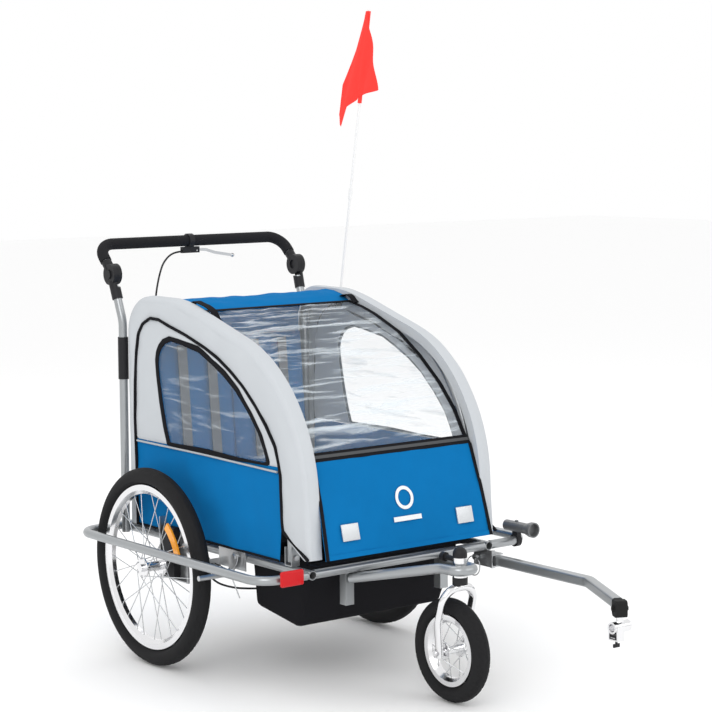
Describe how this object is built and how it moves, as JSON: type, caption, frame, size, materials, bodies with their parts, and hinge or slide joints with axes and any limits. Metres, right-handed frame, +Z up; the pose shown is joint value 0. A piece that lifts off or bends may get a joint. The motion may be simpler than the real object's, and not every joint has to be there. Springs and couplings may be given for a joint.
{
  "type": "child bicycle trailer",
  "caption": "Covered two-seat child trailer on wire wheels, with a cranked tow arm, a swivelling front wheel, folding arched sides, a tilting push bar and a safety flag.",
  "frame": {"origin": "on the ground in the middle of the trailer's whole length and width, with the tow arm and push bar counted", "axes": "+Z is up, -Y is the way the trailer is towed, +X is the trailer's own left"},
  "size_m": [0.84, 1.4986, 1.6521],
  "materials": {
    "silver_tube": "satin silver paint",
    "bracket_plate": "zinc-plated pressed steel",
    "black_plastic": "fine matt grain",
    "bolt_steel": "zinc plated",
    "chrome_plate": "bright chrome plate",
    "red_reflector": "moulded prismatic",
    "lamp_body": "satin black",
    "black_cloth": "woven polyester",
    "blue_cloth": "coated woven polyester",
    "webbing": "woven strap",
    "clear_film": "clear soft vinyl",
    "cable_sleeve": "smooth sleeve",
    "tyre_rubber": "moulded black rubber",
    "polished_rim": "polished rolled rim",
    "spoke_steel": "drawn stainless wire",
    "orange_reflector": "moulded prismatic",
    "white_cloth": "coated woven polyester",
    "grip_foam": "closed-cell foam",
    "hitch_rubber": "moulded rubber",
    "pole_white": "glass fibre",
    "flag_cloth": "thin fluorescent nylon"
  },
  "bodies": {
    "chassis": {"base_frame": "silver_tube", "wheel_guards": "silver_tube", "wheel_brackets": "bracket_plate", "axle_blocks": "black_plastic", "frame_bolts": "bolt_steel", "rear_uprights": "silver_tube", "upright_fittings": "black_plastic", "wheel_support": "silver_tube", "head_tube": "chrome_plate", "head_cap": "black_plastic", "tow_bracket": "bracket_plate", "reflectors": "red_reflector", "front_lamp": "lamp_body", "accessory_clamps": "black_plastic", "brake_brackets": "bracket_plate", "floor_pan": "black_cloth", "seat": "blue_cloth", "harness": "webbing", "rear_panel": "blue_cloth", "roof": "blue_cloth", "front_panel": "blue_cloth", "front_cover": "clear_film", "brake_cables": "cable_sleeve"},
    "right_wheel": {"right_tyre": "tyre_rubber", "right_rim": "polished_rim", "right_spokes": "spoke_steel", "right_hub": "chrome_plate", "right_spoke_reflector": "orange_reflector"},
    "left_wheel": {"left_tyre": "tyre_rubber", "left_rim": "polished_rim", "left_spokes": "spoke_steel", "left_hub": "chrome_plate", "left_spoke_reflector": "orange_reflector"},
    "front_fork": {"fork": "chrome_plate", "fork_cap": "black_plastic"},
    "front_wheel": {"front_tyre": "tyre_rubber", "front_rim": "chrome_plate", "front_spokes": "spoke_steel", "front_hub": "chrome_plate"},
    "swivel_lock": {"swivel_lock": "black_plastic"},
    "right_side": {"right_arch": "silver_tube", "right_side_cover": "white_cloth"},
    "left_side": {"left_arch": "silver_tube", "left_side_cover": "white_cloth"},
    "push_bar": {"push_bar": "silver_tube", "push_bar_grip": "grip_foam", "joint_arms": "black_plastic", "lever_clamp": "bolt_steel"},
    "right_joint_button": {"right_joint_button": "black_plastic"},
    "left_joint_button": {"left_joint_button": "black_plastic"},
    "brake_lever": {"brake_lever": "bolt_steel"},
    "right_brake_arm": {"right_brake_arm": "bracket_plate"},
    "left_brake_arm": {"left_brake_arm": "bracket_plate"},
    "tow_arm": {"tow_arm": "silver_tube", "hitch_rubber": "hitch_rubber"},
    "linch_pin": {"linch_pin": "bolt_steel"},
    "hitch_clamp": {"hitch_clamp": "chrome_plate"},
    "clamp_screw": {"clamp_screw": "black_plastic"},
    "flag": {"flag_pole": "pole_white", "flag": "flag_cloth"}
  },
  "joints": [
    {"name": "right_wheel_spin", "type": "hinge", "parent": "chassis", "child": "right_wheel", "pos_m": [-0.353, 0.3953, 0.25], "axis": [1, 0, 0], "continuous": true},
    {"name": "left_wheel_spin", "type": "hinge", "parent": "chassis", "child": "left_wheel", "pos_m": [0.353, 0.3953, 0.25], "axis": [1, 0, 0], "continuous": true},
    {"name": "fork_swivel", "type": "hinge", "parent": "chassis", "child": "front_fork", "pos_m": [0, -0.3827, 0.3], "axis": [0, 0, 1], "continuous": true},
    {"name": "front_wheel_spin", "type": "hinge", "parent": "front_fork", "child": "front_wheel", "pos_m": [0, -0.3527, 0.124], "axis": [1, 0, 0], "continuous": true},
    {"name": "swivel_lock_pull", "type": "slide", "parent": "chassis", "child": "swivel_lock", "axis": [0, 1, 0], "range_m": [0, 0.008], "stiffness_N_per_m": 400, "springref_m": -0.002},
    {"name": "right_side_fold", "type": "hinge", "parent": "chassis", "child": "right_side", "pos_m": [-0.271, 0.3953, 0.34], "axis": [0, 1, 0], "range_deg": [0, 60], "deforming": ["roof", "front_cover", "front_panel", "rear_panel", "seat", "harness"]},
    {"name": "left_side_fold", "type": "hinge", "parent": "chassis", "child": "left_side", "pos_m": [0.271, 0.3953, 0.34], "axis": [0, 1, 0], "range_deg": [-60, 0]},
    {"name": "push_bar_tilt", "type": "hinge", "parent": "chassis", "child": "push_bar", "pos_m": [0, 0.6563, 0.97], "axis": [1, 0, 0], "range_deg": [-45, 60], "deforming": ["brake_cables"]},
    {"name": "right_button_press", "type": "slide", "parent": "push_bar", "child": "right_joint_button", "axis": [1, 0, 0], "range_m": [0, 0.004], "stiffness_N_per_m": 400},
    {"name": "left_button_press", "type": "slide", "parent": "push_bar", "child": "left_joint_button", "axis": [-1, 0, 0], "range_m": [0, 0.004], "stiffness_N_per_m": 400},
    {"name": "brake_lever_pull", "type": "hinge", "parent": "push_bar", "child": "brake_lever", "pos_m": [0.012, 0.7283, 1.017], "axis": [0, -1, 0], "range_deg": [0, 9], "stiffness_Nm_per_rad": 1.2, "springref_deg": -2.86},
    {"name": "right_brake_press", "type": "hinge", "parent": "chassis", "child": "right_brake_arm", "pos_m": [-0.292, 0.1103, 0.312], "axis": [1, 0, 0], "range_deg": [0, 5.5]},
    {"name": "left_brake_press", "type": "hinge", "parent": "chassis", "child": "left_brake_arm", "pos_m": [0.292, 0.1103, 0.312], "axis": [1, 0, 0], "range_deg": [0, 5.5]},
    {"name": "tow_arm_swing", "type": "hinge", "parent": "chassis", "child": "tow_arm", "pos_m": [0.29, -0.1667, 0.272], "axis": [0, 0, 1], "range_deg": [0, 90]},
    {"name": "linch_pin_pull", "type": "slide", "parent": "chassis", "child": "linch_pin", "axis": [-1, 0, 0], "range_m": [0, 0.045]},
    {"name": "hitch_swivel", "type": "hinge", "parent": "tow_arm", "child": "hitch_clamp", "pos_m": [0.17493, -0.728, 0.24], "axis": [0, 0, 1], "range_deg": [-60, 60]},
    {"name": "clamp_screw_turn", "type": "slide", "parent": "hitch_clamp", "child": "clamp_screw", "axis": [0, 0, 1], "range_m": [0, 0.004]},
    {"name": "flag_pole_lift", "type": "slide", "parent": "chassis", "child": "flag", "axis": [0.0501, -0.1153, 0.9921], "range_m": [0, 0.25]}
  ],
  "couplings": [
    {"joint": "right_brake_press", "follows": "brake_lever_pull", "ratio": 0.61},
    {"joint": "left_brake_press", "follows": "brake_lever_pull", "ratio": 0.61}
  ]
}
